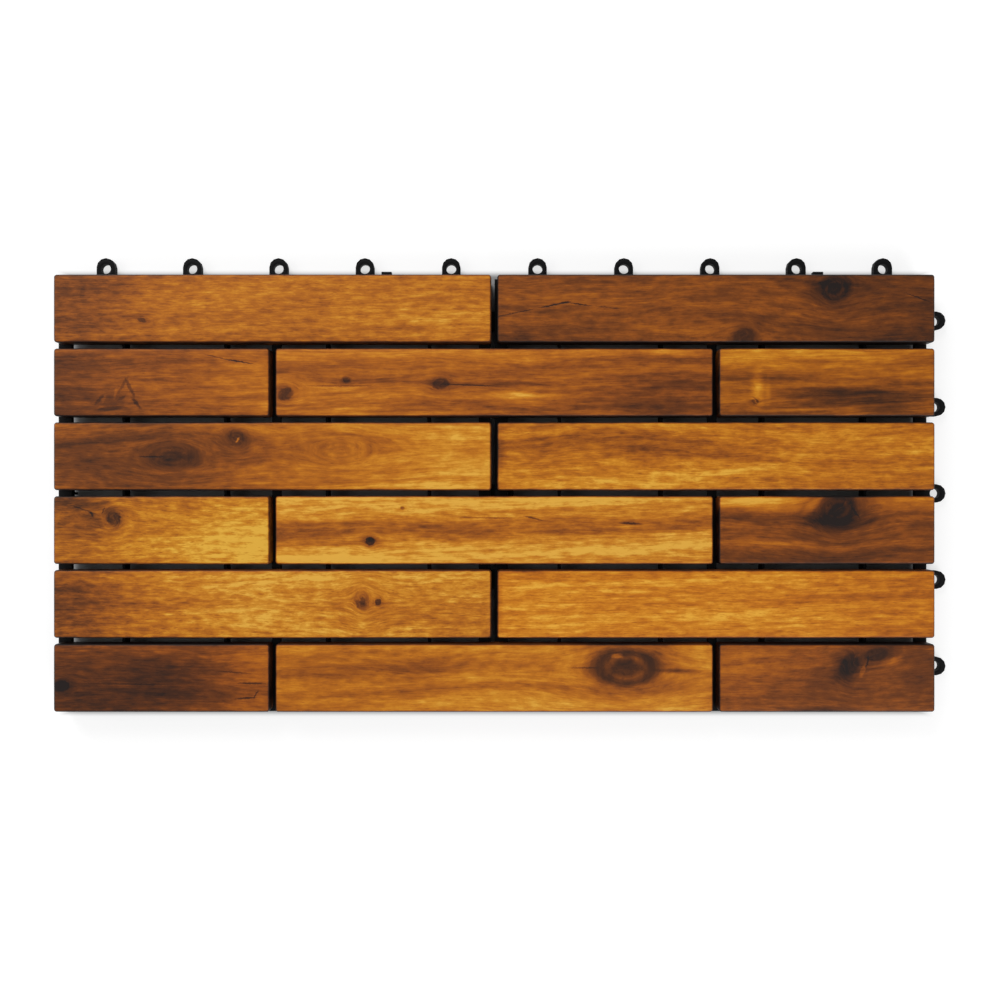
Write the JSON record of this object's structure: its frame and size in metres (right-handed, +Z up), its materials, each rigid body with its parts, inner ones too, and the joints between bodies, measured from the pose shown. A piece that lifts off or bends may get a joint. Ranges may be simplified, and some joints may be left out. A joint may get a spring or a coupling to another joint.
{
  "type": "interlocking deck tile",
  "caption": "Rectangular deck tile of wooden boards in a running bond, screwed to moulded black grids with loops along adjoining sides and pegs along the others.",
  "frame": {"origin": "middle of the whole footprint, loops included, at the ground under the feet; the middle of the 600 by 300 mm pattern cell lies 6.85 mm to -X and 6.85 mm to -Y of it", "axes": "+X along the boards towards the side with five loops, +Y across the boards towards the side with ten loops, +Z up from the ground to the walking face"},
  "size_m": [0.6134, 0.3134, 0.024],
  "materials": {
    "wood": "satin, oiled acacia",
    "base": "matte moulded polypropylene",
    "screw": "zinc-plated steel"
  },
  "bodies": {
    "root": {"base_grid_left": "base", "base_grid_right": "base", "board_row1_left": "wood", "board_row1_right": "wood", "screws_row1": "screw", "board_row2_left": "wood", "board_row2_middle": "wood", "board_row2_right": "wood", "screws_row2": "screw", "board_row3_left": "wood", "board_row3_right": "wood", "screws_row3": "screw", "board_row4_left": "wood", "board_row4_middle": "wood", "board_row4_right": "wood", "screws_row4": "screw", "board_row5_left": "wood", "board_row5_right": "wood", "screws_row5": "screw", "board_row6_left": "wood", "board_row6_middle": "wood", "board_row6_right": "wood", "screws_row6": "screw"}
  },
  "joints": []
}
